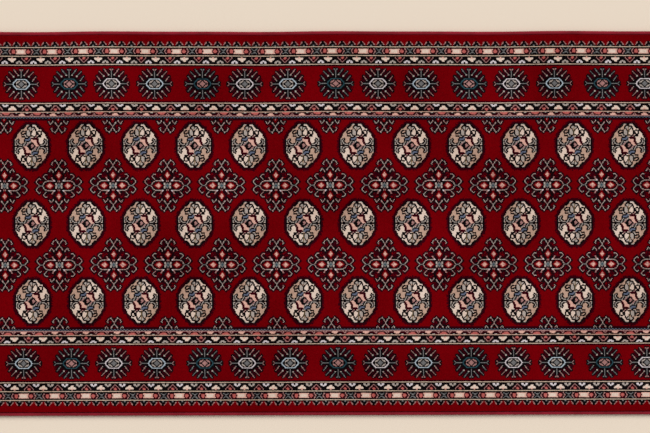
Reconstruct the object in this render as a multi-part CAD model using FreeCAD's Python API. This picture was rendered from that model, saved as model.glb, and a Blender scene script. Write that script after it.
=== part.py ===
import FreeCAD, Part
import os

# Machine-woven runner rug, lying flat, in millimetres.
# X runs along the runner, Y across it and Z up. The origin is the centre of the underside.
# Rear is +Y, front is -Y, left is -X and right is +X.

# Overall size
rug_length = 2000.0
rug_width = 700.0

# Thickness, from the floor up
back_coat_thickness = 0.6
ground_weave_thickness = 2.4
pile_height = 7.0

# Serged edge: yarn wrapped round a cord along all four sides
cord_diameter = 5.0
serging_thickness = 1.0

# Widths of the border's bands of pile, from the serging inwards
plain_band_width = 10.0
comb_stripe_width = 10.0
cream_line_width = 2.0
cartouche_stripe_width = 14.0
trefoil_stripe_width = 14.0
main_band_width = 68.0
coral_stripe_width = 9.0
navy_line_width = 5.0

# Field pattern: rows of eight-sided guls, with small crosses between them
gul_width = 62.0
gul_height = 80.0
gul_outline_width = 4.0
gul_gap_along = 29.0
gul_gap_across = 54.0
gul_corner_share = 0.55
field_margin = 4.0

# Crosses: the gaps between their tips, and their clearance from the guls
cross_gap_along = 13.0
cross_gap_across = 50.0
cross_clearance = 2.5
cross_tip = 8.0

# Sunbursts in the main band: the gap between two, and the plain pile beside them
sunburst_length = 66.0
sunburst_gap = 15.0
sunburst_margin = 5.0
sunburst_corner_share = 0.6

# Sizes that follow from those above
serging_width = cord_diameter + 2 * serging_thickness
ground_length = rug_length - 2 * serging_width
ground_width = rug_width - 2 * serging_width
pile_bottom = back_coat_thickness + ground_weave_thickness

bands_outside_main = [
    ("plain_band_pile", plain_band_width),
    ("comb_stripe_pile", comb_stripe_width),
    ("cream_line_1_pile", cream_line_width),
    ("cartouche_stripe_pile", cartouche_stripe_width),
    ("cream_line_2_pile", cream_line_width),
    ("outer_trefoil_stripe_pile", trefoil_stripe_width),
    ("cream_line_3_pile", cream_line_width),
]
bands_inside_main = [
    ("cream_line_4_pile", cream_line_width),
    ("inner_trefoil_stripe_pile", trefoil_stripe_width),
    ("coral_stripe_pile", coral_stripe_width),
    ("navy_line_pile", navy_line_width),
]
border_bands = bands_outside_main + [("main_band_pile", main_band_width)] + bands_inside_main
border_width = sum(width for name, width in border_bands)
field_length = ground_length - 2 * border_width
field_width = ground_width - 2 * border_width

outer_gul_width = gul_width + 2 * gul_outline_width
outer_gul_height = gul_height + 2 * gul_outline_width
gul_pitch = outer_gul_width + gul_gap_along
gul_row_pitch = outer_gul_height + gul_gap_across
gul_columns = int((field_length - 2 * field_margin + gul_gap_along) / gul_pitch)
gul_rows = int((field_width - 2 * field_margin + gul_gap_across) / gul_row_pitch)

cross_width = gul_pitch - cross_gap_along
cross_height = gul_row_pitch - cross_gap_across
cross_arm = gul_gap_along / 2 - cross_clearance
cross_shoulder = gul_gap_across / 2 - cross_clearance

sunburst_depth = main_band_width - 2 * sunburst_margin
sunburst_pitch = sunburst_length + sunburst_gap
main_band_inset = sum(width for name, width in bands_outside_main) + main_band_width / 2


def plate(length, width, bottom, thickness):
    """A flat rectangular layer, centred on the rug."""
    corner = FreeCAD.Vector(-length / 2, -width / 2, bottom)
    return Part.makeBox(length, width, thickness, corner)


def tuft_block(outline):
    """An area of pile on the ground weave, inside a closed outline of (x, y) points."""
    points = [FreeCAD.Vector(x, y, pile_bottom) for x, y in outline]
    wire = Part.makePolygon(points + points[:1])
    return Part.Face(wire).extrude(FreeCAD.Vector(0, 0, pile_height))


def mirrored_outline(quarter):
    """A closed outline from its first quadrant, which runs from the top to the right."""
    right_side = quarter + [(x, -y) for x, y in reversed(quarter) if y > 0]
    left_side = [(-x, y) for x, y in reversed(right_side) if x > 0]
    return right_side + left_side


def octagon(width, height, corner_share):
    """An octagon whose upright and level sides take up a share of its height and width."""
    return mirrored_outline([
        (width / 2 * corner_share, height / 2),
        (width / 2, height / 2 * corner_share),
    ])


def cross_outline():
    """A stepped cross: its upright arms pass between two guls and its body lies between rows."""
    half_width = cross_width / 2
    half_height = cross_height / 2
    return mirrored_outline([
        (0, half_height),
        (cross_arm, half_height - cross_tip),
        (cross_arm, cross_shoulder),
        (half_width - cross_tip, cross_shoulder / 2),
        (half_width, 0),
    ])


def placed(outline, x, y):
    """The outline moved so that its centre is at x, y."""
    return [(x + dx, y + dy) for dx, dy in outline]


def turned(outline):
    """The outline turned by a quarter turn."""
    return [(-y, x) for x, y in outline]


def evenly_spaced(reach, pitch):
    """Places from -reach to reach, both included, at the pitch or a little more."""
    gaps = max(1, int(2 * reach / pitch))
    return [2 * reach * i / gaps - reach for i in range(gaps + 1)]


def centred_row(count, pitch):
    """Places of a row of the given count and pitch, centred on zero."""
    return [(i - (count - 1) / 2) * pitch for i in range(count)]


def mitred_frame(outer_length, outer_width, band_width):
    """The four strips of one border band, mitred where they meet at the corners."""
    x_out = outer_length / 2
    y_out = outer_width / 2
    x_in = x_out - band_width
    y_in = y_out - band_width
    rear = [(-x_out, y_out), (x_out, y_out), (x_in, y_in), (-x_in, y_in)]
    right = [(x_out, y_out), (x_out, -y_out), (x_in, -y_in), (x_in, y_in)]
    front = [(-x, -y) for x, y in rear]
    left = [(-x, -y) for x, y in right]
    return [tuft_block(outline) for outline in (rear, right, front, left)]


def sunburst_blocks():
    """A square sunburst in each corner of the main band and a run of long ones on each side."""
    x_mid = ground_length / 2 - main_band_inset
    y_mid = ground_width / 2 - main_band_inset
    long_shape = octagon(sunburst_length, sunburst_depth, sunburst_corner_share)
    corner_shape = octagon(sunburst_depth, sunburst_depth, sunburst_corner_share)
    outlines = [placed(corner_shape, x, y) for x in (-x_mid, x_mid) for y in (-y_mid, y_mid)]
    for x in evenly_spaced(x_mid, sunburst_pitch)[1:-1]:
        outlines += [placed(long_shape, x, y_mid), placed(long_shape, x, -y_mid)]
    for y in evenly_spaced(y_mid, sunburst_pitch)[1:-1]:
        outlines += [placed(turned(long_shape), x_mid, y), placed(turned(long_shape), -x_mid, y)]
    return [tuft_block(outline) for outline in outlines]


def serging_section(half_width):
    """Section of a serged edge, flat against the rug and half round outside, and of its cord."""
    radius = serging_width / 2
    flat_bottom = FreeCAD.Vector(0, half_width - serging_width, 0)
    flat_top = flat_bottom + FreeCAD.Vector(0, 0, serging_width)
    round_bottom = flat_bottom + FreeCAD.Vector(0, radius, 0)
    round_top = flat_top + FreeCAD.Vector(0, radius, 0)
    centre = round_bottom + FreeCAD.Vector(0, 0, radius)
    outermost = centre + FreeCAD.Vector(0, radius, 0)
    edges = [
        Part.LineSegment(flat_bottom, round_bottom).toShape(),
        Part.Arc(round_bottom, outermost, round_top).toShape(),
        Part.LineSegment(round_top, flat_top).toShape(),
        Part.LineSegment(flat_top, flat_bottom).toShape(),
    ]
    whole = Part.Face(Part.Wire(edges))
    circle = Part.makeCircle(cord_diameter / 2, centre, FreeCAD.Vector(1, 0, 0))
    cord = Part.Face(Part.Wire(circle))
    return whole.cut(cord), cord


def serged_edge(length, half_width, angle):
    """The wrapped yarn and the cord of one side, turned by the angle to its place."""
    solids = []
    for section in serging_section(half_width):
        solid = section.extrude(FreeCAD.Vector(length, 0, 0))
        solid.translate(FreeCAD.Vector(-length / 2, 0, 0))
        solid.rotate(FreeCAD.Vector(0, 0, 0), FreeCAD.Vector(0, 0, 1), angle)
        solids.append(solid)
    return solids


def base_nodes():
    """The woven ground and the coat on its back."""
    return {
        "back_coat": plate(ground_length, ground_width, 0, back_coat_thickness),
        "ground_weave": plate(
            ground_length, ground_width, back_coat_thickness, ground_weave_thickness),
    }


def edge_nodes():
    """The serged edges: the long ones run the full length, and the end ones fit between."""
    nodes = {}
    sides = [
        ("rear_edge", rug_length, rug_width / 2, 0),
        ("front_edge", rug_length, rug_width / 2, 180),
        ("left_end", ground_width, rug_length / 2, 90),
        ("right_end", ground_width, rug_length / 2, -90),
    ]
    for name, length, half_width, angle in sides:
        wrap, cord = serged_edge(length, half_width, angle)
        nodes[name + "_serging"] = wrap
        nodes[name + "_cord"] = cord
    return nodes


def border_nodes():
    """The border's bands of pile, one inside the other, and the main band's sunbursts."""
    nodes = {}
    sunbursts = sunburst_blocks()
    length = ground_length
    width = ground_width
    for name, band_width in border_bands:
        strips = mitred_frame(length, width, band_width)
        if name == "main_band_pile":
            strips = [strip.cut(sunbursts) for strip in strips]
        nodes[name] = Part.makeCompound(strips)
        length -= 2 * band_width
        width -= 2 * band_width
    nodes["sunburst_pile"] = Part.makeCompound(sunbursts)
    return nodes


def field_nodes():
    """The field's pile, with the guls and the crosses inlaid in it."""
    field = plate(field_length, field_width, pile_bottom, pile_height)
    outer_gul = octagon(outer_gul_width, outer_gul_height, gul_corner_share)
    inner_gul = octagon(gul_width, gul_height, gul_corner_share)
    whole_guls = []
    medallions = []
    for x in centred_row(gul_columns, gul_pitch):
        for y in centred_row(gul_rows, gul_row_pitch):
            whole_guls.append(tuft_block(placed(outer_gul, x, y)))
            medallions.append(tuft_block(placed(inner_gul, x, y)))

    # Crosses stand half a pitch from the guls both ways, and the field's edge cuts the outer ones
    whole_crosses = []
    cut_crosses = []
    for x in centred_row(gul_columns + 1, gul_pitch):
        for y in centred_row(gul_rows + 1, gul_row_pitch):
            cross = tuft_block(placed(cross_outline(), x, y))
            inside_x = abs(x) + cross_width / 2 <= field_length / 2
            inside_y = abs(y) + cross_height / 2 <= field_width / 2
            if inside_x and inside_y:
                whole_crosses.append(cross)
            else:
                cut_crosses += cross.common(field).Solids
    return {
        "gul_pile": Part.makeCompound(medallions),
        "gul_outline_pile": Part.makeCompound(
            [whole.cut(medallion) for whole, medallion in zip(whole_guls, medallions)]),
        "cross_pile": Part.makeCompound(whole_crosses),
        "edge_cross_pile": Part.makeCompound(cut_crosses),
        "field_pile": field.cut(whole_guls + whole_crosses + cut_crosses),
    }


os.makedirs("parts", exist_ok=True)
nodes = {**base_nodes(), **edge_nodes(), **border_nodes(), **field_nodes()}
for name, shape in nodes.items():
    shape.exportStep("parts/" + name + ".step")
    print(name, len(shape.Solids), "solids,", round(shape.Volume / 1000, 1), "cm3")
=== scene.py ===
import math

import bpy
import numpy as np
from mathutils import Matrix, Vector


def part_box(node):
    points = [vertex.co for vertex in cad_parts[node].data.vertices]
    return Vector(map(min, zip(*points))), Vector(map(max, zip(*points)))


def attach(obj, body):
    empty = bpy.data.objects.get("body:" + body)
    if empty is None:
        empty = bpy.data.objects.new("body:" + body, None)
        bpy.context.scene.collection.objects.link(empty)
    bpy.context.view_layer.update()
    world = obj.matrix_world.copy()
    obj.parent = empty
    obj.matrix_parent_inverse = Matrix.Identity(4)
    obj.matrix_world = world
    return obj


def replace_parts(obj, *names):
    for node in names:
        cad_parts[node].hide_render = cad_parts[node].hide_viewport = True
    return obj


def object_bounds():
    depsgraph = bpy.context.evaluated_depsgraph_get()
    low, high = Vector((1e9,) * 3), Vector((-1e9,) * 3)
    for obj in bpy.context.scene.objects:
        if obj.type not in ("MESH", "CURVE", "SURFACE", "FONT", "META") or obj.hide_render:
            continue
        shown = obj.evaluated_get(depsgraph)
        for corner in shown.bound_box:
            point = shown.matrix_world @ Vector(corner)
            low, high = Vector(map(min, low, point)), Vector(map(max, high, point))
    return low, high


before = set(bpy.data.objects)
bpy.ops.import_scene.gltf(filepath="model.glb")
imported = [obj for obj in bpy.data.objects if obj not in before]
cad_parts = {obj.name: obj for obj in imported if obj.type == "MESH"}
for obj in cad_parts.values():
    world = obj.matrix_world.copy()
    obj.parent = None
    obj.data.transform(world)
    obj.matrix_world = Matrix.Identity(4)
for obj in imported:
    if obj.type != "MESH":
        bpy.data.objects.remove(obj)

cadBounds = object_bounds()
mm = 0.001
rng = np.random.default_rng(31)

# the weave: how far apart the tufts stand, and how much they differ
weave = {
    "tuftAlong": 1.456,     # mm between picks, down the runner
    "tuftAcross": 1.46,     # mm between dents of the reed
    "stray": 0.24,          # mm that a tuft's corners wander
    "uneven": 0.45,         # mm between the highest and lowest of the sheared tips
}

# a runner never lies quite true: its weft runs a little askew, the front edge draws in toward
# one end, and the rear edge wanders in slow waves
lie = {
    "skew": -0.0073,        # mm along the runner for each mm across it
    "drawsIn": 0.0016,      # mm across for each mm along, at the front edge
    "waves": ((410, 0.5, 0.15), (210, 0.26, 0.26)),     # mm long, mm high, and its phase
    "width": (cadBounds[1][1] - cadBounds[0][1]) / mm,
}


def asItLies(points):
    # points in mm on a true rug, moved to where they lie on this one
    moved = np.array(points, float).reshape(-1, 3)
    x, y = moved[:, 0].copy(), moved[:, 1].copy()
    toRear = np.clip(0.5 + y / lie["width"], 0, 1)
    moved[:, 0] += lie["skew"] * y
    moved[:, 1] += lie["drawsIn"] * x * (1 - toRear)
    for length, size, phase in lie["waves"]:
        moved[:, 1] += size * toRear * np.sin(x / length * 2 * math.pi + phase)
    return moved


# the pattern is drawn in mm and then laid tuft by tuft
halfLength, halfWidth, pileTop = np.array(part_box("plain_band_pile")[1]) / mm
columns = 2 * int(round(halfLength / weave["tuftAlong"]))
rows = 2 * int(round(halfWidth / weave["tuftAcross"]))
stepX = 2 * halfLength / columns
stepY = 2 * halfWidth / rows
tuftX, tuftY = np.meshgrid((np.arange(columns) + 0.5) * stepX - halfLength,
                           (np.arange(rows) + 0.5) * stepY - halfWidth)

yarnNames = ["ruby", "wine", "black", "ivory", "cream", "white", "ice", "tan", "peach", "coral",
             "rose", "stone", "grey", "khaki", "blue", "teal"]
yarn = np.zeros((rows, columns), int)      # the first yarn everywhere, until another is laid
inGul = np.zeros((rows, columns), bool)


def lay(place, name, area=None):
    # weaves the named yarn where the mask says, in the whole rug or in one window of it
    target = yarn if area is None else yarn[area]
    target[place] = yarnNames.index(name)


def nearLine(u, v, points, width):
    # inside a line of some width that runs from point to point
    hit = np.zeros(u.shape, bool)
    for (u0, v0), (u1, v1) in zip(points, points[1:]):
        du, dv = u1 - u0, v1 - v0
        t = np.clip(((u - u0) * du + (v - v0) * dv) / (du * du + dv * dv), 0, 1)
        hit |= np.hypot(u - u0 - t * du, v - v0 - t * dv) < width / 2
    return hit


def inBox(u, v, centre, half):
    return (np.abs(u - centre[0]) < half[0]) & (np.abs(v - centre[1]) < half[1])


def inOval(u, v, centre, half):
    return ((u - centre[0]) / half[0]) ** 2 + ((v - centre[1]) / half[1]) ** 2 < 1


def inDiamond(u, v, centre, half):
    return np.abs(u - centre[0]) / half[0] + np.abs(v - centre[1]) / half[1] < 1


def inShape(u, v, points):
    # inside a closed outline of any shape, by counting the sides crossed
    hit = np.zeros(u.shape, bool)
    for (u0, v0), (u1, v1) in zip(points, points[1:] + points[:1]):
        if v0 != v1:
            hit ^= ((v0 > v) != (v1 > v)) & (u < u0 + (v - v0) * (u1 - u0) / (v1 - v0))
    return hit


def draw(here, u, v, marks, area=None):
    # lays marks one over another: each is a kind of shape, its numbers, and its yarn
    for shape, *numbers, name in marks:
        lay(here & shape(u, v, *numbers), name, area)


def outside(q, r, points):
    # how far a point of the first quadrant lies outside a convex outline, from top to right
    far = r - points[0][1]
    for (q0, r0), (q1, r1) in zip(points, points[1:]):
        nq, nr = r0 - r1, q1 - q0
        far = np.maximum(far, ((q - q0) * nq + (r - r0) * nr) / math.hypot(nq, nr))
    return far


def repeat(along, pitch, start=0.0):
    # distance from the middle of the nearest repeat, and which repeat that is
    index = np.floor((along - start) / pitch + 0.5).astype(int)
    return along - start - index * pitch, index


def onTuft(place, step):
    # the middle of the nearest tuft
    return (math.floor(place / step) + 0.5) * step


def window(cx, cy, reach):
    # the tufts round a motif: where they are in the grid, and their places from its centre
    c0, c1 = (int(np.clip((cx + side * reach + halfLength) / stepX, 0, columns))
              for side in (-1, 1))
    r0, r1 = (int(np.clip((cy + side * reach + halfWidth) / stepY, 0, rows)) for side in (-1, 1))
    area = (slice(r0, r1), slice(c0, c1))
    return area, tuftX[area] - cx, tuftY[area] - cy


# border: bands one inside the other, each with its depth taken from the frame
def depthOf(node):
    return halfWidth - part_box(node)[1][1] / mm


fieldDepth = depthOf("field_pile")
mainDepth = depthOf("main_band_pile")
mainInner = depthOf("cream_line_4_pile")
depthX = halfLength - np.abs(tuftX)
depthY = halfWidth - np.abs(tuftY)
onLongSide = depthY <= depthX
depth = np.where(onLongSide, depthY, depthX)
along = np.where(onLongSide, tuftX, tuftY)


def band(node, innerNode):
    # mask of a band, the distance in from its outer line and that out from its inner line
    outer, inner = depthOf(node), depthOf(innerNode)
    return (depth >= outer) & (depth < inner), depth - outer, inner - depth


# pitches are whole numbers of tufts, and a start is where one repeat has its middle; each mark
# is drawn on both sides of that middle
combs = {
    "pitch": 12 * stepX,
    "start": 37.6,
    "marks": [
        (inShape, [(0, 0.5), (2.04, 0.5), (8.88, 10), (0, 10)], "black"),
        (nearLine, [(2.6, 1.8), (4.4, 4.2), (6.6, 7.6)], 1.3, "rose"),
        (inDiamond, (0, 9.2), (2.0, 2.2), "grey"),
        (inBox, (5.3, 9.5), (2.3, 1.5), "black"),
    ],
}
cartouches = {
    "pitch": 39 * stepX,
    "start": 54.3,
    "middle": 7.0,
    "marks": [
        (inShape, [(7.5, 0), (9.0, 5), (18.0, 5), (19.5, 0)], "wine"),
        (inShape, [(0, 4.6), (9.6, 4.6), (9.4, 3.2), (7.8, 1.2), (7.8, 0), (0, 0)], "peach"),
        (inBox, (0, 0), (6.0, 3.2), "ivory"),
        (inOval, (13.5, 0), (3.3, 3.7), "coral"),
        (nearLine, [(19.0, 4.6), (22.2, 0)], 1.5, "rose"),
        (inShape, [(26.912, 0.8), (22.292, 5), (29, 5), (29, 0.8)], "grey"),
        (inShape, [(27.352, 2.4), (22.182, 7.1), (29, 7.1), (29, 2.4)], "black"),
    ],
}
shield = [(0, 10.0), (1.8, 10.0), (2.8, 8.4), (4.2, 7.2), (6.2, 6.0), (7.6, 4.0), (7.6, 2.9),
          (0, 2.9)]
club = [(0, 10.2), (2.2, 10.0), (3.0, 7.8), (4.8, 6.4), (7.4, 5.0), (7.4, 2.9), (0, 2.9)]
shieldRim = [(0, 10.6), (2.4, 9.8), (4.0, 7.2), (6.4, 5.4), (8.2, 2.8)]
trefoils = {
    "pitch": 18 * stepX,
    "start": 33.6,
    "paleShield": [(inShape, shield, "ivory"), (inOval, (0, 3.2), (2.4, 1.7), "peach")],
    "paleClub": [(inShape, club, "ivory"), (inOval, (0, 3.2), (2.4, 1.7), "peach")],
    "darkShield": [(inShape, shield, "wine"), (nearLine, shieldRim, 1.5, "rose"),
                   (inOval, (0, 3.4), (2.7, 2.2), "coral")],
    "dome": ((0, 1.8), (5.6, 4.3)),
    "domeFoot": 1.6,
    "domeEye": ((0, 1.6), (1.6, 1.8)),
}
scrolls = {
    "pitch": 39 * stepX,
    "start": 55.1,
    "marks": [
        (inBox, (9, 7), (5, 2.6), "black"),
        (inBox, (0, 9), (30, 1.6), "tan"),
        (inBox, (0, 0), (30, 1.2), "rose"),
        (inShape, [(0, 5.8), (1.8, 5.6), (3.0, 4.2), (5.6, 3.0), (6.8, 0.6), (0, 0.6)], "peach"),
        (inShape, [(29, 1.81), (23.99, 3.4), (19.59, 7.6), (29, 7.6)], "coral"),
        (nearLine, [(14.8, 0.4), (18.0, 4.6), (21.2, 0.4)], 1.5, "rose"),
        (inOval, (10.0, 6.2), (1.8, 1.4), "stone"),
    ],
}
beads = {
    "pitch": 4 * stepX,
    "share": 0.6,           # of the pitch that a grey bead takes up
    "grey": (0.4, 1.9),     # mm from the line's outer side
    "blue": (1.9, 3.4),
}


def weaveCombs():
    here, v, h = band("comb_stripe_pile", "cream_line_1_pile")
    q = np.abs(repeat(along, combs["pitch"], combs["start"])[0])
    draw(here, q, v, combs["marks"])


def weaveCartouches():
    here, v, h = band("cartouche_stripe_pile", "cream_line_2_pile")
    q = np.abs(repeat(along, cartouches["pitch"], cartouches["start"])[0])
    lay(here, "black")
    draw(here, q, np.abs(v - cartouches["middle"]), cartouches["marks"])


def weaveTrefoils(node, innerNode, flip):
    # shields hang from the stripe's one line, pale and dark by turns, and small domes stand on
    # the other between them
    here, v, h = band(node, innerNode)
    if flip:
        v, h = h, v
    lay(here, "black")
    u, index = repeat(along, trefoils["pitch"], trefoils["start"] + trefoils["pitch"] / 2)
    pale = index % 2 == 0
    draw(here & pale, np.abs(u), v, trefoils["paleClub" if flip else "paleShield"])
    draw(here & ~pale, np.abs(u), v, trefoils["darkShield"])
    u, index = repeat(along, trefoils["pitch"], trefoils["start"])
    dome = here & inOval(u, h, *trefoils["dome"]) & (h > trefoils["domeFoot"])
    lay(dome, "stone")
    lay(dome & (index % 2 == 0), "white")
    lay(dome & inOval(u, h, *trefoils["domeEye"]), "black")


def weaveScrolls():
    here, v, h = band("coral_stripe_pile", "navy_line_pile")
    q = np.abs(repeat(along, scrolls["pitch"], scrolls["start"])[0])
    lay(here, "wine")
    draw(here, q, h, scrolls["marks"])


def weaveBeads():
    here, v, h = band("navy_line_pile", "field_pile")
    u, index = repeat(along, beads["pitch"])
    bead = np.abs(u) < beads["pitch"] * beads["share"] / 2
    lay(here, "black")
    for name, place in (("grey", bead), ("blue", ~bead)):
        start, end = beads[name]
        lay(here & place & (v > start) & (v < end), name)


# sunbursts of the main band
sunburst = {
    "halfLength": 33.0,
    "halfDepth": 28.5,
    "reach": 36.0,
    "start": 60.4,
    "spacing": (53, 54, 60),           # tufts to the next one, the same three over and over
    "turns": 4,                        # of those three, each way from the start
    "evenBeyond": 640.0,               # past here the run is evened out to meet the corner
    "endGap": 15,                      # mm at least between two, across the ends
    "clear": (4, 2),                   # mm kept free at the band's outer and inner side
    "ragged": (-0.1, 0.04),            # the outline's wander, as a share of its size
    "kinds": (("teal", "rose", "rose"), ("white", "stone", "grey"),
              ("ice", "stone", "grey")),       # yarns of the lens, the leaf and the core
    "lens": [(0, 8.8), (6.2, 8.8), (9.8, 7.6), (15.6, 0)],
    "lensLine": 1.9,
    "leaf": [(3.6, 5.6), (8.4, 2.4)],
    "leafLine": 2.2,
    "core": 4.4,
    "rays": [
        [(17.6, 0), (27.0, 0), (30.8, 2.5)],
        [(19.7, 5.4), (26.6, 13.6)],
        [(13.5, 13.2), (21.6, 22.0)],
        [(4.4, 15.4), (13.2, 26.2)],
        [(0, 12.0), (0, 23.6), (2.4, 26.6)],
    ],
    "rayLine": 1.3,
    "dark": (21, 14),                  # the black oval under the lens
    "darkLine": 5.9,                   # and how wide the black along each ray is
    "root": 1.3,
    "rootOut": 0.6,
}
bandLines = {"wineOutside": 3, "blackOutside": 1.6, "wineInside": 1.9}      # mm wide


def sunburstRun():
    # places along a long side, with which kind each is
    spacing = [tufts * stepX for tufts in sunburst["spacing"]]
    corner = halfLength - (mainDepth + mainInner) / 2
    places = []
    for turn in range(-sunburst["turns"], sunburst["turns"] + 1):
        for kind in range(3):
            x = sunburst["start"] + turn * sum(spacing) + sum(spacing[:kind])
            if abs(x) < sunburst["evenBeyond"]:
                places.append((x, kind))
    for side in (-1, 1):
        last, kind = max(places, key=lambda place: place[0] * side)
        gaps = round((corner - abs(last)) / (sum(spacing) / 3))
        for i in range(1, gaps + 1):
            places.append((last + (side * corner - last) * i / gaps, (kind + side * i) % 3))
    return places


def weaveSunburst(cx, cy, kind, turned):
    cx, cy = onTuft(cx, stepX), onTuft(cy, stepY)
    area, u, v = window(cx, cy, sunburst["reach"])
    if turned:
        u, v = v, u
    q, r = np.abs(u), np.abs(v)
    lens, leaf, core = sunburst["kinds"][kind]
    clearOutside, clearInside = sunburst["clear"]
    here = (depth[area] > mainDepth + clearOutside) & (depth[area] < mainInner - clearInside)
    ragged = 1 + rng.uniform(*sunburst["ragged"], q.shape)
    half = (sunburst["halfLength"] * ragged, sunburst["halfDepth"] * ragged)
    lay(here & inOval(q, r, (0, 0), half), "wine", area)
    near = inOval(q, r, (0, 0), sunburst["dark"])
    rays = np.zeros(q.shape, bool)
    for points in sunburst["rays"]:
        near |= nearLine(q, r, points, sunburst["darkLine"])
        rays |= nearLine(q, r, points, sunburst["rayLine"])
    lay(here & near, "black", area)
    lay(here & rays, "grey" if lens == "teal" else "rose", area)
    lay(here & rays & ((q < 1) | (r < 1)), "grey", area)
    for (rootX, rootY), end in sunburst["rays"][1:-1]:
        centre = (rootX + sunburst["rootOut"], rootY + sunburst["rootOut"])
        lay(here & inOval(q, r, centre, (sunburst["root"], sunburst["root"])), "stone", area)
    draw(here, q, r, [(nearLine, sunburst["lens"], sunburst["lensLine"], lens),
                      (nearLine, sunburst["leaf"], sunburst["leafLine"], leaf),
                      (inDiamond, (0, 0), (sunburst["core"], sunburst["core"]), core)], area)


def weaveMainBand():
    here, v, h = band("main_band_pile", "cream_line_4_pile")
    lay(here & ((v < bandLines["wineOutside"]) | (h < bandLines["wineInside"])), "wine")
    lay(here & (v < bandLines["blackOutside"]), "black")
    middle = (mainDepth + mainInner) / 2
    yMiddle = halfWidth - middle
    xMiddle = halfLength - middle
    for x, kind in sunburstRun():
        for side in (-1, 1):
            weaveSunburst(x, side * yMiddle, kind, False)
    gaps = int(2 * yMiddle / (2 * sunburst["halfLength"] + sunburst["endGap"]))
    for i in range(1, gaps):
        y = (2 * i / gaps - 1) * yMiddle
        for side in (-1, 1):
            weaveSunburst(side * xMiddle, y, i % 3, True)


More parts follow.
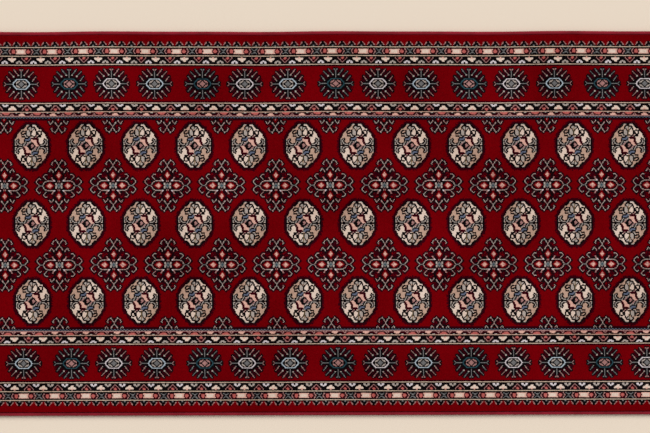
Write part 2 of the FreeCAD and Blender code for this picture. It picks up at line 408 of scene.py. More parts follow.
# field: guls, with crosses between them
# a gul's quarters are cream and tan by turns, each drawn from the gul's middle
gul = {
    "columns": 68,         # tufts from one gul to the next
    "rows": 97,
    "start": -0.7,
    "eachWay": 8,          # guls on each side of the middle one, along the runner
    "reach": 52,
    "outline": [(1.8, 39.4), (8.4, 39.4), (10.2, 35.2), (13.8, 31.2), (17.4, 30.4), (20.2, 26.4),
                (26.0, 20.4), (26.2, 17.4), (28.4, 14.0), (30.2, 10.6), (30.4, 0), (0, 0),
                (0, 37.4)],
    "hull": [(8.4, 39.4), (17.4, 30.4), (26.2, 19.8), (30.2, 10.8), (30.4, 0)],
    "rim": 1.9,            # mm of black round it
    "halo": 5.8,           # mm of black and wine round it
    "ragged": (-1.6, 1.2),
    "greyEdge": 1.8,       # mm of it along the outline, but for the slanting sides
    "slant": (12, 30),
    "creamQuarter": [
        (inBox, (0, 33.5), (4.4, 3.1), "stone"),
        (inShape, [(0, 16.4), (11.6, 15.6), (12.8, 8.0), (14.6, 3.6), (14.6, 0), (0, 0)], "wine"),
        (nearLine, [(1.6, 35.4), (5.0, 35.4), (7.0, 33.0), (7.8, 29.6)], 3.1, "black"),
        (nearLine, [(5.4, 31.8), (0.8, 25.6)], 2.6, "black"),
        (nearLine, [(8.6, 26.6), (8.9, 21.4), (8.2, 18.4), (5.6, 17.7), (2.2, 19.2), (0, 18.6)],
         2.8, "black"),
        (nearLine, [(11.0, 21.0), (9.8, 17.2), (6.6, 15.9)], 1.5, "rose"),
        (nearLine, [(9.2, 26.0), (12.0, 27.0), (15.0, 27.8), (17.8, 26.2), (18.6, 23.0),
                    (16.6, 20.4), (13.2, 21.0), (11.6, 24.2)], 2.9, "black"),
        (nearLine, [(17.2, 20.6), (17.4, 17.8), (12.4, 17.4), (10.8, 15.6)], 3.0, "black"),
        (nearLine, [(1.2, 15.0), (4.6, 13.6), (9.0, 13.8), (12.4, 13.4), (12.6, 8.0), (13.8, 4.6),
                    (16.5, 2.8)], 3.0, "wine"),
        (nearLine, [(16.5, 2.8), (20.0, 3.2), (23.2, 6.0), (24.2, 8.4), (22.6, 10.8), (24.0, 12.9),
                    (26.4, 12.2), (27.8, 8.4)], 2.9, "black"),
        (nearLine, [(0, 37.0), (0, 20.0)], 1.6, "black"),
        (inShape, [(5.4, 30.0), (7.4, 27.0), (7.6, 22.0), (6.4, 19.6), (4.2, 19.4), (1.2, 22.0),
                   (1.2, 25.0)], "ivory"),
        (inShape, [(0, 13.0), (2.6, 12.0), (8.2, 11.8), (10.0, 9.6), (10.0, 5.8), (13.2, 1.6),
                   (13.6, 0), (8.4, 0), (5.8, 3.4), (2.8, 7.0), (0, 9.0)], "peach"),
    ],
    "tanQuarter": [
        (inBox, (0, 33.5), (4.4, 3.1), "stone"),
        (inShape, [(0, 16.4), (11.6, 15.6), (12.8, 8.0), (14.6, 3.6), (14.6, 0), (0, 0)], "grey"),
        (nearLine, [(7.2, 30.6), (6.4, 33.6), (4.8, 36.0), (2.6, 37.4)], 3.0, "black"),
        (nearLine, [(5.2, 31.4), (1.0, 25.6)], 2.2, "black"),
        (nearLine, [(9.6, 27.4), (9.2, 23.0), (8.6, 19.6), (6.0, 17.6), (3.0, 17.6), (0.8, 19.2),
                    (0.4, 25.0)], 2.9, "black"),
        (nearLine, [(12.0, 24.0), (11.2, 20.0), (8.6, 16.9), (6.0, 15.8)], 1.5, "stone"),
        (nearLine, [(13.0, 27.4), (16.8, 27.1), (18.2, 24.2), (16.6, 21.2), (13.2, 21.4),
                    (12.2, 23.8)], 2.9, "black"),
        (nearLine, [(17.4, 18.6), (17.2, 17.6), (13.2, 18.0), (11.0, 15.0), (12.4, 10.0),
                    (12.2, 7.0), (14.4, 4.2), (18.0, 2.8), (22.0, 4.8), (23.6, 8.0), (22.2, 10.4),
                    (23.2, 12.6), (26.2, 11.6), (28.0, 8.0)], 3.0, "black"),
        (nearLine, [(11.4, 15.2), (7.0, 14.9), (4.0, 15.6), (3.0, 17.2)], 2.9, "black"),
        (nearLine, [(10.0, 8.6), (4.2, 9.0), (1.8, 12.0)], 2.2, "black"),
        (nearLine, [(7.6, 6.7), (2.8, 7.2), (0.6, 9.0)], 1.7, "stone"),
        (nearLine, [(12.2, 1.6), (9.0, 6.4)], 2.7, "black"),
        (nearLine, [(14.4, 1.0), (11.4, 5.4), (10.8, 8.0)], 1.5, "stone"),
        (nearLine, [(10.0, 0.7), (6.0, 4.4), (4.6, 6.2)], 1.6, "rose"),
        (nearLine, [(0, 37.0), (0, 20.0)], 1.6, "khaki"),
        (inShape, [(5.6, 30.2), (8.0, 26.0), (7.8, 21.4), (6.2, 19.2), (4.4, 18.8), (1.8, 21.0),
                   (1.8, 24.6), (3.6, 28.2)], "stone"),
        (inShape, [(11.0, 13.6), (4.8, 13.4), (2.4, 16.0), (0.8, 16.0), (3.4, 11.4), (5.0, 10.4),
                   (10.6, 10.2)], "blue"),
    ],
    "sides": [             # a black spine and hooks, with a light line inside the hooks
        (inBox, (0, 40), (1.5, 5.4), "black"),
        (inBox, (21, 0), (6.4, 3.6), "black"),
        (inBox, (30, 0), (2.6, 1.4), "black"),
        (inShape, [(20.6, 3.4), (24.4, 6.8), (21.8, 10.6), (23.2, 13.8), (27.0, 13.0),
                   (28.6, 9.0), (28.6, 2.6), (20.6, 0)], "black"),
        (nearLine, [(24.4, 11.4), (26.0, 9.4), (26.0, 6.2), (23.6, 3.2), (20.6, 1.8),
                    (17.6, 1.6)], 1.4, "stone"),
    ],
    "centre": [            # a dark ring, with rose inside and a dark eye to one side
        (inDiamond, (0, 0), (8.0, 8.2), "black"),
        (inDiamond, (0.9, 0.4), (3.9, 4.1), "rose"),
        (inOval, (-1.8, -0.2), (1.9, 2.2), "black"),
    ],
}
cross = {
    "rows": (-218.3, -75.1, 69.3, 212.4),      # mm across the runner; the end ones are cut
    "reach": 54,
    "strokes": [
        [(0, 35.6), (0, 37.8), (6.1, 46.3), (9.8, 43.8), (13.4, 39.6), (10.6, 37.2)],
        [(0, 35.6), (7.0, 26.8)],
        [(17.8, 26.0), (14.5, 30.5), (9.2, 24.4)],
        [(21.8, 21.0), (25.0, 20.0), (28.0, 16.8), (22.8, 11.4)],
        [(32.6, 10.4), (35.8, 14.2), (42.0, 6.5), (35.4, 0)],
        [(30.2, 0), (26.0, 6.0), (22.0, 8.9), (7.4, 8.9)],
    ],
    "line": 1.16,          # mm wide, and then the widths of the black and the wine under it
    "darkLine": 4.6,
    "wineLine": 7.2,
    "body": [(0, 46), (9.6, 43), (13.4, 39), (10.6, 31), (14.4, 30.4), (18, 25), (24.4, 21),
             (28, 16.8), (29, 11), (35.8, 14), (42, 6.5), (38, 0), (0, 0)],
    "plums": (((8.2, 37.2), (3.4, 3.8)), ((16.6, 19.2), (5.2, 5.6)), ((33.4, 7.4), (3.4, 3.4))),
    # each diamond's centre, half its size, its yarn and the yarn mixed into it
    "upper": [((0, 18.6), (6.4, 10.0), "ruby", "ruby"), ((0, 19.2), (4.2, 5.4), "coral", "coral"),
              ((0, 19.2), (3.2, 4.4), "peach", "rose")],
    "cutUpper": [((0, 18.6), (6.4, 10.0), "ruby", "ruby"), ((0, 19.2), (4.2, 5.4), "wine", "wine"),
                 ((0, 19.2), (3.2, 4.4), "rose", "rose")],
    "sides": [((16.6, 0), (9.0, 7.8), "ruby", "ruby"), ((16.6, 0), (5.4, 5.0), "coral", "coral"),
              ((16.6, 0), (4.6, 4.2), "peach", "rose")],
    "mixed": 0.3,          # share of the tufts that have the yarn mixed in
    "mixedInPlums": 0.2,
    "marks": [
        (nearLine, [(30.2, 0), (35.4, 0)], 1.5, "grey"),
        (inOval, (8.4, 9.2), (1.9, 1.2), "white"),
        (nearLine, [(9.6, 9.4), (12.6, 14.7)], 1.6, "rose"),
        (inOval, (5.0, 3.0), (2.0, 2.0), "stone"),
        (nearLine, [(2.1, 6.6), (2.1, 8.4)], 1.5, "rose"),
        (inDiamond, (0, 0), (5.4, 5.4), "grey"),
        (inOval, (0, 0), (2.0, 2.0), "teal"),
    ],
}
fieldLine = 2              # mm of wine round the field


def weaveGul(cx, cy):
    cx, cy = onTuft(cx, stepX), round(cy / stepY) * stepY
    area, u, v = window(cx, cy, gul["reach"])
    q, r = np.abs(u), np.abs(v)
    here = depth[area] > fieldDepth
    far = outside(q, r, gul["hull"])
    inGul[area] |= here & (far < gul["halo"])
    lay(here & (far < gul["halo"] + rng.uniform(*gul["ragged"], q.shape)), "wine", area)
    lay(here & (far < gul["rim"]), "black", area)
    inside = here & inShape(q, r, gul["outline"])
    cream = inside & (u * v > 0)
    tan = inside & (u * v <= 0)
    slantFrom, slantTo = gul["slant"]
    lay(cream, "ivory", area)
    lay(tan, "tan", area)
    lay(inside & (far > -gul["greyEdge"]) & ((r < slantFrom) | (r > slantTo)), "stone", area)
    draw(cream, q, r, gul["creamQuarter"], area)
    draw(tan, q, r, gul["tanQuarter"], area)
    draw(inside, q, r, gul["sides"], area)
    draw(inside, u, v, gul["centre"], area)


def weaveCross(cx, cy, cut):
    cx, cy = onTuft(cx, stepX), onTuft(cy, stepY)
    area, u, v = window(cx, cy, cross["reach"])
    q, r = np.abs(u), np.abs(v)
    here = depth[area] > fieldDepth
    speckle = rng.random(q.shape)

    def mix(place, name, other, share=cross["mixed"]):
        # one yarn with another mixed in, tuft by tuft
        lay(here & place, name, area)
        lay(here & place & (speckle < share), other, area)

    dark = inShape(q, r, cross["body"])
    line = np.zeros(q.shape, bool)
    for points in cross["strokes"]:
        draw(here, q, r, [(nearLine, points, cross["wineLine"], "wine")], area)
        dark |= nearLine(q, r, points, cross["darkLine"])
        line |= nearLine(q, r, points, cross["line"])
    mix(dark, "black", "wine")
    for centre, half in cross["plums"]:
        mix(inOval(q, r, centre, half), "wine", "ruby", cross["mixedInPlums"])
    for centre, half, name, other in cross["cutUpper" if cut else "upper"] + cross["sides"]:
        mix(inDiamond(q, r, centre, half), name, other)
    mix(line, "stone", "rose")
    draw(here, q, r, cross["marks"], area)


def weaveField():
    lay((depth > fieldDepth) & (depth < fieldDepth + fieldLine), "wine")
    pitchX = gul["columns"] * stepX
    pitchY = gul["rows"] * stepY
    last = gul["eachWay"]
    for i in range(-last - 1, last + 1):
        for y in cross["rows"]:
            cut = y in (cross["rows"][0], cross["rows"][-1])
            weaveCross((i + 0.5) * pitchX + gul["start"], y, cut)
    for i in range(-last, last + 1):
        for j in (-1, 0, 1):
            weaveGul(i * pitchX + gul["start"], j * pitchY)


weaveCombs()
weaveCartouches()
weaveTrefoils("outer_trefoil_stripe_pile", "cream_line_3_pile", False)
weaveTrefoils("inner_trefoil_stripe_pile", "coral_stripe_pile", True)
weaveScrolls()
weaveBeads()
weaveMainBand()
weaveField()
for line, nextNode in (("cream_line_1_pile", "cartouche_stripe_pile"),
                       ("cream_line_2_pile", "outer_trefoil_stripe_pile"),
                       ("cream_line_3_pile", "main_band_pile"),
                       ("cream_line_4_pile", "inner_trefoil_stripe_pile")):
    lay(band(line, nextNode)[0], "cream")
print("pattern laid:", rows, "by", columns, "tufts")


bakeMargin = 0.002         # share of the baked map left free at each side


def makePiece(name, points, faces, material, plan=True):
    # points in mm, and faces all of one size; the baked map, where there is one, is its plan
    points = asItLies(points) * mm
    faces = np.asarray(faces)
    mesh = bpy.data.meshes.new(name)
    mesh.vertices.add(len(points))
    mesh.vertices.foreach_set("co", points.ravel())
    mesh.loops.add(faces.size)
    mesh.loops.foreach_set("vertex_index", faces.ravel().astype(np.int32))
    mesh.polygons.add(len(faces))
    starts = np.arange(0, faces.size, faces.shape[1]).astype(np.int32)
    mesh.polygons.foreach_set("loop_start", starts)
    mesh.update(calc_edges=True)
    mesh.shade_smooth()
    if plan:
        low, high = points.min(axis=0)[:2], points.max(axis=0)[:2]
        flat = bakeMargin + (1 - 2 * bakeMargin) * (points[:, :2] - low) / (high - low)
        layer = mesh.uv_layers.new(name="OFBake")
        layer.uv.foreach_set("vector", flat[faces.ravel()].ravel())
    mesh.materials.append(material)
    piece = bpy.data.objects.new(name, mesh)
    bpy.context.collection.objects.link(piece)
    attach(piece, "root")
    return piece


def linear(hexColour):
    parts = [int(hexColour[i:i + 2], 16) / 255 for i in (1, 3, 5)]
    return [c / 12.92 if c <= 0.04045 else ((c + 0.055) / 1.055) ** 2.4 for c in parts] + [1.0]


def addNode(tree, kind, settings=None, **inputs):
    # a node with its settings; an input is a value, or a link given as (node, output)
    node = tree.nodes.new(kind)
    for key, value in (settings or {}).items():
        setattr(node, key, value)
    for key, value in inputs.items():
        socket = node.inputs[int(key[2:]) if key.startswith("in") else key.replace("_", " ")]
        if isinstance(value, tuple) and isinstance(value[0], bpy.types.Node):
            tree.links.new(value[0].outputs[value[1]], socket)
        else:
            socket.default_value = value
    return node


def startMaterial(name):
    material = bpy.data.materials.new(name)
    material.use_nodes = True
    tree = material.node_tree
    tree.nodes.clear()
    return material, tree


def finishMaterial(tree, colour, height, bumpMm, strength, **gloss):
    bump = addNode(tree, "ShaderNodeBump", Strength=strength, Distance=bumpMm * mm, Height=height)
    shader = addNode(tree, "ShaderNodeBsdfPrincipled", Base_Color=colour, Normal=(bump, 0),
                     **gloss)
    addNode(tree, "ShaderNodeOutputMaterial", Surface=(shader, 0))


def yarnPile(name, colour, dark, light):
    # cut pile of heat-set yarn, sheared level: matt, a little sheen, each tuft its own shade,
    # painted shade darkening it down between the tufts, and slow drifts of tone, 160 mm across,
    # painted as the light and shade where the pile leans; single fibres are too fine to show, so
    # they are drawn 0.6 mm thick
    material, tree = startMaterial(name)
    place = addNode(tree, "ShaderNodeTexCoord")
    grid = addNode(tree, "ShaderNodeUVMap", {"uv_map": "tufts"})
    whole = addNode(tree, "ShaderNodeVectorMath", {"operation": "FLOOR"}, in0=(grid, 0))
    part = addNode(tree, "ShaderNodeVectorMath", {"operation": "FRACTION"}, in0=(grid, 0))
    own = addNode(tree, "ShaderNodeTexWhiteNoise", Vector=(whole, 0))
    away = addNode(tree, "ShaderNodeVectorMath", {"operation": "DISTANCE"},
                   in0=(part, 0), in1=(0.5, 0.5, 0.0))
    up = addNode(tree, "ShaderNodeMapRange", {"interpolation_type": "SMOOTHSTEP"},
                 Value=(away, 1), From_Min=0.72, From_Max=0.18)
    # painted light and shade: slow drifts of tone, 160 mm across, where the pile leans
    drift = addNode(tree, "ShaderNodeTexNoise", Vector=(place, 3), Scale=1 / (160 * mm),
                    Detail=2.0)
    fibre = addNode(tree, "ShaderNodeTexNoise", Vector=(place, 3), Scale=1 / (0.6 * mm),
                    Detail=1.0)
    shade = addNode(tree, "ShaderNodeMath", {"operation": "MULTIPLY"}, in0=(own, 0), in1=0.45)
    shade = addNode(tree, "ShaderNodeMath", {"operation": "MULTIPLY_ADD"},
                    in0=(drift, 0), in1=1.4, in2=(shade, 0))
    shade = addNode(tree, "ShaderNodeMath", {"operation": "MULTIPLY_ADD"},
                    in0=(fibre, 0), in1=0.2, in2=(shade, 0))
    ramp = addNode(tree, "ShaderNodeMapRange", {"clamp": True},
                   Value=(shade, 0), From_Min=0.6, From_Max=1.4)
    tone = addNode(tree, "ShaderNodeMix", {"data_type": "RGBA"},
                   Factor=(ramp, 0), in6=linear(dark), in7=linear(light))
    body = addNode(tree, "ShaderNodeMix", {"data_type": "RGBA"},
                   Factor=0.45, in6=(tone, 2), in7=linear(colour))
    # painted shade: the colour is darkened down between the tufts, from 1.06 on a tuft's top to
    # 0.72 at its edges
    paintedCreviceShade = addNode(tree, "ShaderNodeMapRange", Value=(up, 0), To_Min=0.72, To_Max=1.06)
    final = addNode(tree, "ShaderNodeVectorMath", {"operation": "SCALE"},
                    in0=(body, 2), Scale=(paintedCreviceShade, 0))
    height = addNode(tree, "ShaderNodeMath", {"operation": "MULTIPLY_ADD"},
                     in0=(fibre, 0), in1=0.5, in2=(up, 0))
    finishMaterial(tree, (final, 0), (height, 0), 0.5, 0.5, Roughness=0.9, IOR=1.5,
                   Specular_IOR_Level=0.08, Specular_Tint=linear(light), Sheen_Weight=0.02,
                   Sheen_Roughness=0.5, Sheen_Tint=linear(light))
    return material


yarns = {
    # colour, its dark and its light tufts, and the slot
    "ruby": ("#690006", "#4d0003", "#82010a", "ruby_pile"),
    "wine": ("#2c0009", "#1b0005", "#440512", "wine_pile"),
    "black": ("#0b0709", "#060304", "#171113", "black_pile"),
    "ivory": ("#dfc6b4", "#bb9c88", "#efdbce", "cream_pile"),
    "cream": ("#c2a891", "#9b8069", "#d9c4b0", "cream_pile"),
    "white": ("#d2c6c8", "#a99da1", "#e8dedf", "white_pile"),
    "ice": ("#aab6bf", "#85929e", "#c6d0d6", "blue_pile"),
    "tan": ("#b7937f", "#91705e", "#d0af9b", "tan_pile"),
    "peach": ("#d9a493", "#b27e6e", "#ecbfb0", "coral_pile"),
    "coral": ("#b25650", "#8b3934", "#cc766f", "coral_pile"),
    "rose": ("#a0726d", "#7b524e", "#bd908b", "coral_pile"),
    "stone": ("#a79990", "#7f736b", "#c3b7ae", "grey_pile"),
    "grey": ("#6a6867", "#4b4a4c", "#888685", "grey_pile"),
    "khaki": ("#66563c", "#4a3d28", "#857352", "tan_pile"),
    "blue": ("#585f72", "#3e4454", "#737b90", "blue_pile"),
    "teal": ("#25424a", "#162b31", "#3b5f68", "blue_pile"),
}

# the pile has one face to a tuft, its corners shared with its neighbours; each piece is one
# yarn in one zone, and some stand for what the frame has in their place
standsFor = {
    "rubyEdgePile": ["plain_band_pile"],
    "rubyBandPile": ["main_band_pile"],
    "rubyFieldPile": ["field_pile"],
    "wineGulPile": ["gul_outline_pile"],
    "wineCrossPile": ["cross_pile", "edge_cross_pile"],
    "blackStripePile": ["comb_stripe_pile", "outer_trefoil_stripe_pile"],
    "blackBandPile": ["inner_trefoil_stripe_pile"],
    "creamPile": ["cream_line_1_pile", "cream_line_2_pile", "cream_line_3_pile",
                  "cream_line_4_pile"],
    "tanPile": ["gul_pile"],
    "whitePile": ["sunburst_pile"],
    "stonePile": ["cartouche_stripe_pile"],
    "coralPile": ["coral_stripe_pile"],
    "bluePile": ["navy_line_pile"],
}
inField = depth > fieldDepth
outerBands = depth < mainDepth
zones = {
    "ruby": {"rubyEdgePile": outerBands, "rubyBandPile": ~outerBands & ~inField,
             "rubyFieldPile": inField},
    "wine": {"wineBandPile": ~inField, "wineGulPile": inField & inGul,
             "wineCrossPile": inField & ~inGul},
    "black": {"blackStripePile": outerBands, "blackBandPile": ~outerBands & ~inField,
              "blackGulPile": inField & inGul, "blackCrossPile": inField & ~inGul},
}

cornerX, cornerY = np.meshgrid(np.arange(columns + 1) * stepX - halfLength,
                               np.arange(rows + 1) * stepY - halfWidth)
notEdge = np.zeros(cornerX.shape)
notEdge[1:-1, 1:-1] = weave["stray"]
cornerX = cornerX + notEdge * rng.uniform(-1, 1, cornerX.shape)
cornerY = cornerY + notEdge * rng.uniform(-1, 1, cornerX.shape)
cornerZ = pileTop - weave["uneven"] * rng.uniform(0, 1, cornerX.shape)
corners = np.stack([cornerX, cornerY, cornerZ], axis=-1)

# the outermost tufts splay a little over the serging, in steps, and go down beside it
splay = {"rings": ((0.5, 0.9), (0.8, 3.2), (0.5, 6.4)), "stray": 0.2}      # mm out and mm down


def tuftFaces(place):
    # the corners of the tufts in a mask, each corner once, and the tufts' own grid as a map
    r, c = np.nonzero(place)
    wide = columns + 1
    faces = np.stack([r * wide + c, r * wide + c + 1, (r + 1) * wide + c + 1,
                      (r + 1) * wide + c], axis=-1)
    used, faces = np.unique(faces, return_inverse=True)
    grid = np.stack([c[:, None] + [0, 1, 1, 0], r[:, None] + [0, 0, 1, 1]], axis=-1)
    return corners.reshape(-1, 3)[used], faces.reshape(-1, 4), grid.reshape(-1, 2)


def edgeFaces():
    # a skirt round the whole pile, from its outermost corners outward and down
    alongRow, alongColumn = np.arange(columns), np.arange(rows)
    r = np.concatenate([0 * alongRow, alongColumn, 0 * alongRow + rows, rows - alongColumn])
    c = np.concatenate([alongRow, 0 * alongColumn + columns, columns - alongRow, 0 * alongColumn])
    line = corners[r, c]
    out = np.stack([(c == columns) * 1.0 - (c == 0), (r == rows) * 1.0 - (r == 0), 0 * c], axis=-1)
    n = len(line)
    i = np.arange(n)
    following = (i + 1) % n
    points, faces, grid = [line], [], []
    for ring, (outward, down) in enumerate(splay["rings"]):
        stray = rng.uniform(-splay["stray"], splay["stray"], line.shape) * (1, 1, 0.5)
        points.append(line + out * outward - (0, 0, down) + stray)
        upper, lower = ring * n, (ring + 1) * n
        faces.append(np.stack([lower + i, lower + following, upper + following, upper + i],
                              axis=-1))
        cell = np.stack([i[:, None] + [0, 1, 1, 0], 0 * i[:, None] - ring + [0, 0, 1, 1]], axis=-1)
        grid.append(cell.reshape(-1, 2))
    return np.concatenate(points), np.concatenate(faces), np.concatenate(grid)


for index, name in enumerate(yarnNames):
    colour, dark, light, slotName = yarns[name]
    material = yarnPile("heat-set yarn, cut pile, " + name, colour, dark, light)
    for pieceName, zone in zones.get(name, {name + "Pile": depth > 0}).items():
        points, faces, grid = tuftFaces((yarn == index) & zone)
        if pieceName == "rubyEdgePile":
            edgePoints, edgeQuads, edgeGrid = edgeFaces()
            faces = np.concatenate([faces, edgeQuads + len(points)])
            points = np.concatenate([points, edgePoints])
            grid = np.concatenate([grid, edgeGrid])
        piece = makePiece(pieceName, points, faces, material)
        tuftMap = piece.data.uv_layers.new(name="tufts")
        tuftMap.uv.foreach_set("vector", grid.astype(np.float32).ravel())
        if pieceName in standsFor:
            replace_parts(piece, *standsFor[pieceName])
        print(pieceName, len(faces), "tufts")

# serging is yarn wound round the edge cord, wrap beside wrap
serging = {
    "wrap": 2.0,           # mm from wrap to wrap
    "ringsPerWrap": 4,
    "around": 14,
    "bulge": 0.55,         # mm from the groove between two wraps to their top
    "slant": 1.6,          # mm that a wrap moves along in one turn
    "uneven": 0.08,
    "square": 0.18,        # share of the radius that the section fills out toward its corners
    "leastCosine": 0.7,    # where its flat sides end and its corners start
    "rounded": 3.0,        # the long edges' ends are turned in over this many mm
    "turnedIn": 0.99,      # how nearly they close at the very end, out of 1
    "tucked": 2.5,         # and the short ends' run into them by this many
    "proud": 0.8,          # the winding bulges out this far past the woven edge
    "clear": 0.02,         # mm off the floor
}
cord = {"plies": 3, "plyDepth": 0.35, "lay": 14.0, "ring": 2.5, "around": 15, "short": 4.0}


def edgeOf(node):
    # which way an edge runs and on which side, with its middle, ends and heights in mm
    low, high = (np.array(corner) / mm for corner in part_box(node))
    longwise = high[0] - low[0] > high[1] - low[1]
    run, across = (0, 1) if longwise else (1, 0)
    return {
        "longwise": longwise,
        "side": 1 if low[across] + high[across] > 0 else -1,
        "middle": abs(low[across] + high[across]) / 2,
        "start": low[run],
        "end": high[run],
        "bottom": low[2],
        "top": high[2],
    }


def angles(around):
    return np.arange(around)[None, :] / around * 2 * math.pi


def makeEdge(node, edge, position, outward, up, material):
    # a closed tube, from how far along, how far out and how high each point of each ring is
    shape = outward.shape
    rings, around = shape
    position, outward = np.broadcast_to(position, shape), outward * edge["side"]
    sides = [position, outward, up] if edge["longwise"] else [outward, position, up]
    points = np.stack(sides, axis=-1).reshape(-1, 3)
    first = np.arange(rings - 1)[:, None] * around
    step = np.arange(around)[None, :]
    nextStep = (step + 1) % around
    quads = np.stack([first + step, first + nextStep, first + around + nextStep,
                      first + around + step], axis=-1).reshape(-1, 4)
    mirrored = (edge["side"] > 0) == edge["longwise"]
    if mirrored:
        quads = quads[:, ::-1]
    triangles = [quads[:, [0, 1, 2]], quads[:, [0, 2, 3]]]
    # a fan of triangles round a point in the middle closes each end
    for start, turned in ((0, True), ((rings - 1) * around, False)):
        loop = start + np.arange(around)
        fan = np.stack([loop, np.roll(loop, -1), np.full(around, len(points))], axis=-1)
        triangles.append(fan[:, ::-1] if turned != mirrored else fan)
        points = np.concatenate([points, points[loop].mean(axis=0)[None]])
    firstWord, *words = node.split("_")
    name = firstWord + "".join(word.title() for word in words)
    piece = makePiece(name, points, np.concatenate(triangles), material, plan=False)
    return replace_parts(piece, node)


def windSerging(node, material):
    edge = edgeOf(node)
    start, end = edge["start"], edge["end"]
    if not edge["longwise"]:
        start, end = start - serging["tucked"], end + serging["tucked"]
    radius = edge["top"] / 2
    count = int(round((end - start) / serging["wrap"])) * serging["ringsPerWrap"] + 1
    position = np.linspace(start, end, count)[:, None]
    turn = angles(serging["around"])
    phase = (position + serging["slant"] * turn / (2 * math.pi)) / serging["wrap"]
    uneven = rng.uniform(-serging["uneven"], serging["uneven"], (count, 1))
    bump = serging["bulge"] * (np.abs(np.sin(phase * math.pi)) - 1) + uneven
    reach = radius + serging["square"] * np.sin(2 * turn) ** 2 * radius + bump
    flat = radius / np.maximum(np.abs(np.cos(turn)), serging["leastCosine"])
    reach = np.minimum(reach, flat)
    if edge["longwise"]:
        fromEnd = np.minimum(position - start, end - position)
        turnedIn = np.clip(1 - fromEnd / serging["rounded"], 0, serging["turnedIn"])
        reach = reach * np.sqrt(1 - turnedIn ** 2)
    outward = edge["middle"] + serging["proud"] + reach * np.cos(turn)
    up = radius + np.maximum(reach * np.sin(turn), -radius + serging["clear"])
    return makeEdge(node, edge, position, outward, up, material)


def layCord(node, material):
    edge = edgeOf(node)
    start, end = edge["start"] + cord["short"], edge["end"] - cord["short"]
    radius = (edge["top"] - edge["bottom"]) / 2
    position = np.linspace(start, end, int(round((end - start) / cord["ring"])) + 1)[:, None]
    turn = angles(cord["around"])
    twist = position / cord["lay"] * 2 * math.pi
    reach = radius - cord["plyDepth"] * (1 - np.abs(np.sin(cord["plies"] / 2 * (turn - twist))))
    outward = edge["middle"] + reach * np.cos(turn)
    up = (edge["bottom"] + edge["top"]) / 2 + reach * np.sin(turn)
    return makeEdge(node, edge, position, outward, up, material)


def woundYarn():
    # wool-look serging yarn, tightly wound: a brighter crimson than the pile, with some sheen,
    # its fibres drawn 0.9 mm thick so that they show
    material, tree = startMaterial("crimson yarn, wound serging")
    place = addNode(tree, "ShaderNodeTexCoord")
    fibre = addNode(tree, "ShaderNodeTexNoise", Vector=(place, 3), Scale=1 / (0.9 * mm),
                    Detail=2.0)
    drift = addNode(tree, "ShaderNodeTexNoise", Vector=(place, 3), Scale=1 / (30 * mm),
                    Detail=2.0)
    mix = addNode(tree, "ShaderNodeMath", {"operation": "MULTIPLY_ADD"},
                  in0=(fibre, 0), in1=0.8, in2=(drift, 0))
    ramp = addNode(tree, "ShaderNodeMapRange", Value=(mix, 0), From_Min=0.5, From_Max=1.3)
    tone = addNode(tree, "ShaderNodeMix", {"data_type": "RGBA"},
                   Factor=(ramp, 0), in6=linear("#66040f"), in7=linear("#97152a"))
    finishMaterial(tree, (tone, 2), (fibre, 0), 0.3, 0.4, Roughness=0.8, IOR=1.5,
                   Specular_IOR_Level=0.25, Sheen_Weight=0.25, Sheen_Roughness=0.4,
                   Sheen_Tint=linear("#d98a92"))
    return material


def twistedCotton():
    # natural cotton cord, laid from three plies: pale, dry and fully matt, its fibres drawn
    # 0.8 mm thick so that they show
    material, tree = startMaterial("cotton cord, laid")
    place = addNode(tree, "ShaderNodeTexCoord")
    fibre = addNode(tree, "ShaderNodeTexNoise", Vector=(place, 3), Scale=1 / (0.8 * mm),
                    Detail=2.0)
    tone = addNode(tree, "ShaderNodeMix", {"data_type": "RGBA"},
                   Factor=(fibre, 0), in6=linear("#a3957a"), in7=linear("#cfc3a8"))
    finishMaterial(tree, (tone, 2), (fibre, 0), 0.2, 0.4, Roughness=0.95, IOR=1.5,
                   Specular_IOR_Level=0.2)
    return material


sergingYarn = woundYarn()
cottonCord = twistedCotton()
for edge in ("rear_edge", "front_edge", "left_end", "right_end"):
    windSerging(edge + "_serging", sergingYarn)
    layCord(edge + "_cord", cottonCord)

# ground weave, and the size coat on its back
ground = {"rib": 3.96, "ribHeight": 0.35, "ribSteps": 4, "rowsAcross": 14, "warp": 2.0}
backing = {"ribHeight": 0.16}


def ribbedSlab(name, node, material, topRib, bottomRib):
    # a closed slab with the weft's ribs running across it, on its top and its underside
    low, high = (np.array(corner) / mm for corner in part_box(node))
    ribs = int(round((high[0] - low[0]) / ground["rib"]))
    xs = np.linspace(low[0], high[0], ribs * ground["ribSteps"] + 1)
    ys = np.linspace(low[1], high[1], ground["rowsAcross"] + 1)
    wave = np.abs(np.sin(np.arange(len(xs)) / ground["ribSteps"] * math.pi))
    gridX, gridY = np.meshgrid(xs, ys)
    groove = 1 - np.broadcast_to(wave, gridX.shape)
    top = np.stack([gridX, gridY, high[2] - topRib * groove], axis=-1)
    bottom = np.stack([gridX, gridY, low[2] + bottomRib * groove], axis=-1)
    n, m = gridX.shape
    r, c = np.meshgrid(np.arange(n - 1), np.arange(m - 1), indexing="ij")
    quad = np.stack([r * m + c, r * m + c + 1, (r + 1) * m + c + 1, (r + 1) * m + c],
                    axis=-1).reshape(-1, 4)
    rim = np.concatenate([np.arange(m - 1), np.arange(n - 1) * m + m - 1,
                          (n - 1) * m + np.arange(m - 1, 0, -1), np.arange(n - 1, 0, -1) * m])
    following = np.roll(rim, -1)
    side = np.stack([n * m + rim, n * m + following, following, rim], axis=-1)
    faces = np.concatenate([quad, quad[:, ::-1] + n * m, side])
    points = np.concatenate([top.reshape(-1, 3), bottom.reshape(-1, 3)])
    piece = makePiece(name, points, faces, material, plan=False)
    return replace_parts(piece, node)


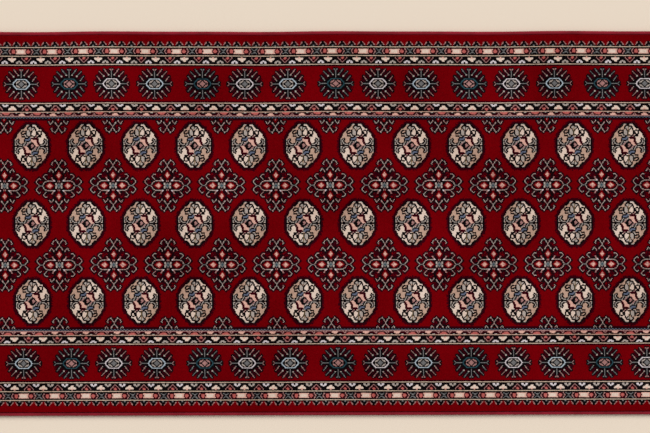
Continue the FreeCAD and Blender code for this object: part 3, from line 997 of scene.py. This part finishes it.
def wovenJute():
    # plain woven jute weft on a cotton warp: coarse, dry, straw to brown; a wave texture has a
    # band every pi / 10 / Scale, here one to a warp end
    material, tree = startMaterial("jute and cotton, plain woven ground")
    place = addNode(tree, "ShaderNodeTexCoord")
    fibre = addNode(tree, "ShaderNodeTexNoise", Vector=(place, 3), Scale=1 / (1.2 * mm),
                    Detail=3.0)
    warp = addNode(tree, "ShaderNodeTexWave", {"bands_direction": "Y"}, Vector=(place, 3),
                   Scale=math.pi / 10 / (ground["warp"] * mm), Distortion=0.6)
    height = addNode(tree, "ShaderNodeMath", {"operation": "MULTIPLY_ADD"},
                     in0=(warp, 1), in1=0.6, in2=(fibre, 0))
    ramp = addNode(tree, "ShaderNodeMapRange", Value=(height, 0), From_Min=0.3, From_Max=1.2)
    tone = addNode(tree, "ShaderNodeMix", {"data_type": "RGBA"},
                   Factor=(ramp, 0), in6=linear("#8f7347"), in7=linear("#c9ae7c"))
    finishMaterial(tree, (tone, 2), (height, 0), 0.4, 0.6, Roughness=0.95, IOR=1.5,
                   Specular_IOR_Level=0.2)
    return material


def driedSize():
    # latex and starch size, brushed in and dried: a dull skin that the weave shows through,
    # with a hint of the red pile yarn behind it
    material, tree = startMaterial("latex size, brushed and dried")
    place = addNode(tree, "ShaderNodeTexCoord")
    warp = addNode(tree, "ShaderNodeTexWave", {"bands_direction": "Y"}, Vector=(place, 3),
                   Scale=math.pi / 10 / (ground["warp"] * mm), Distortion=0.4)
    blotch = addNode(tree, "ShaderNodeTexNoise", Vector=(place, 3), Scale=1 / (50 * mm),
                     Detail=4.0)
    speck = addNode(tree, "ShaderNodeTexNoise", Vector=(place, 3), Scale=1 / (2.5 * mm),
                    Detail=2.0)
    tone = addNode(tree, "ShaderNodeMix", {"data_type": "RGBA"},
                   Factor=(blotch, 0), in6=linear("#a08f6d"), in7=linear("#cdbf9f"))
    red = addNode(tree, "ShaderNodeMapRange", Value=(speck, 0), From_Min=0.52, From_Max=0.66,
                  To_Max=0.55)
    tinted = addNode(tree, "ShaderNodeMix", {"data_type": "RGBA"},
                     Factor=(red, 0), in6=(tone, 2), in7=linear("#7a2a2a"))
    height = addNode(tree, "ShaderNodeMath", {"operation": "MULTIPLY_ADD"},
                     in0=(warp, 1), in1=0.5, in2=(speck, 0))
    finishMaterial(tree, (tinted, 2), (height, 0), 0.25, 0.5, Roughness=0.7, IOR=1.52,
                   Specular_IOR_Level=0.4)
    return material


groundWeave = ribbedSlab("groundWeave", "ground_weave", wovenJute(),
                         ground["ribHeight"], 0.0)
backSize = ribbedSlab("backSize", "back_coat", driedSize(),
                      0.0, backing["ribHeight"])
print("ground and back made")

# floor, light and camera
studio = {
    "floor": "#e3d3c0",
    "floorSize": 60.0,     # m
    "floorBelow": 0.5,     # mm under the rug
    "sky": "#ffffff",
    "skyStrength": 0.5,
    "lamp": {"from": (0.35, 0.8, 0.95), "spread": 38, "strength": 2.3},
    "camera": {"lens": 85.0, "sensor": 36.0, "viewWidth": 1185.6, "centre": (38.7, 12.5),
               "turn": -0.05},
}


def makeFloor():
    half = studio["floorSize"] / 2
    mesh = bpy.data.meshes.new("floor")
    mesh.from_pydata([(-half, -half, 0), (half, -half, 0), (half, half, 0), (-half, half, 0)],
                     [], [(0, 1, 2, 3)])
    floor = bpy.data.objects.new("floor", mesh)
    floor.location.z = cadBounds[0][2] - studio["floorBelow"] * mm
    bpy.context.collection.objects.link(floor)
    material, tree = startMaterial("matt paint, rolled")
    shader = addNode(tree, "ShaderNodeBsdfPrincipled", Base_Color=linear(studio["floor"]),
                     Roughness=0.85)
    addNode(tree, "ShaderNodeOutputMaterial", Surface=(shader, 0))
    mesh.materials.append(material)


def lightAndCamera():
    scene = bpy.context.scene
    world = bpy.data.worlds.new("studio")
    world.use_nodes = True
    sky = world.node_tree.nodes["Background"]
    sky.inputs["Color"].default_value = linear(studio["sky"])
    sky.inputs["Strength"].default_value = studio["skyStrength"]
    scene.world = world
    lamp = studio["lamp"]
    light = bpy.data.lights.new("large softbox, far off", "SUN")
    light.energy = lamp["strength"]
    light.angle = math.radians(lamp["spread"])
    holder = bpy.data.objects.new("softbox", light)
    holder.location = lamp["from"]
    aim = -holder.location
    holder.rotation_euler = aim.to_track_quat("-Z", "Y").to_euler()
    bpy.context.collection.objects.link(holder)
    shot = studio["camera"]
    camera = bpy.data.cameras.new("camera")
    camera.lens = shot["lens"]
    camera.sensor_width = shot["sensor"]
    holder = bpy.data.objects.new("camera", camera)
    height = shot["viewWidth"] * mm * shot["lens"] / shot["sensor"]
    holder.location = (shot["centre"][0] * mm, shot["centre"][1] * mm, pileTop * mm + height)
    holder.rotation_euler = (0, 0, math.radians(shot["turn"]))
    bpy.context.collection.objects.link(holder)
    scene.camera = holder
    scene.view_settings.view_transform = "Standard"


makeFloor()
lightAndCamera()
print("floor, light and camera set")
